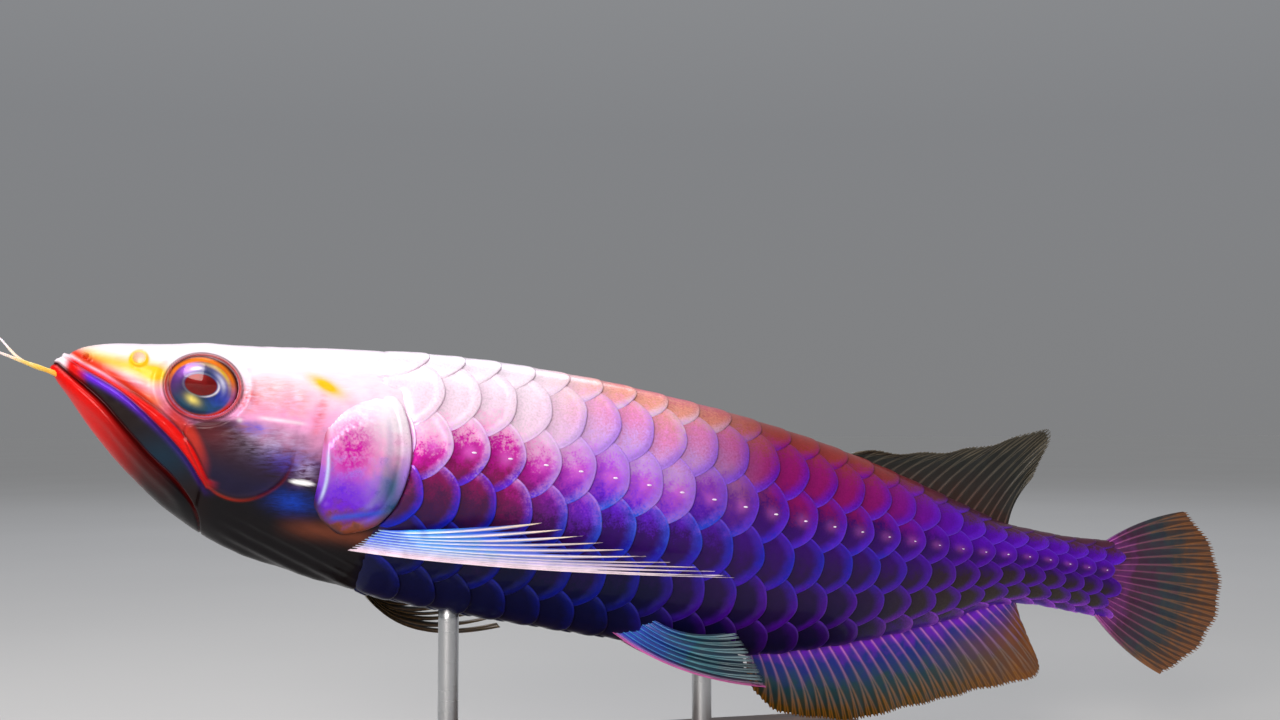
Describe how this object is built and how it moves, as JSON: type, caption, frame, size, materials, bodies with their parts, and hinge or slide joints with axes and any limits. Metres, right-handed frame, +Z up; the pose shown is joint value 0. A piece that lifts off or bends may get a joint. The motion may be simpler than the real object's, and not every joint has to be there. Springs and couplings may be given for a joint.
{
  "type": "asian arowana, still life-size model on a display stand",
  "caption": "Life-size still model of an asian arowana swimming head-up with large overlapping scales, long pectoral fins and chin barbels, on a flat base with short rods.",
  "frame": {"origin": "centre of the stand base's underside, where it rests on the floor", "axes": "+Z up; the fish's head points to -X and its tail to +X, and its left flank faces -Y"},
  "size_m": [0.4074, 0.11, 0.1367],
  "materials": {
    "head_skin": "gloss",
    "lip_skin": "gloss",
    "eye": "wet gloss",
    "gill_plate": "pearly gloss",
    "barbel": "satin",
    "scaled_skin": "pearly gloss",
    "pale_fin": "satin",
    "dark_fin": "satin",
    "stand_wood": "oiled",
    "stand_steel": "brushed"
  },
  "bodies": {
    "root": {"head": "head_skin", "lower_jaw": "lip_skin", "eye_left": "eye", "eye_right": "eye", "gill_cover_left": "gill_plate", "gill_cover_right": "gill_plate", "barbel_left": "barbel", "barbel_right": "barbel", "trunk_front": "scaled_skin", "trunk_rear": "scaled_skin", "tail_stalk": "scaled_skin", "pectoral_fin_left": "pale_fin", "pectoral_fin_right": "dark_fin", "pelvic_fin_left": "pale_fin", "pelvic_fin_right": "pale_fin", "dorsal_fin": "dark_fin", "anal_fin": "dark_fin", "caudal_fin": "dark_fin", "stand_base": "stand_wood", "stand_rod_front": "stand_steel", "stand_rod_rear": "stand_steel"}
  },
  "joints": []
}
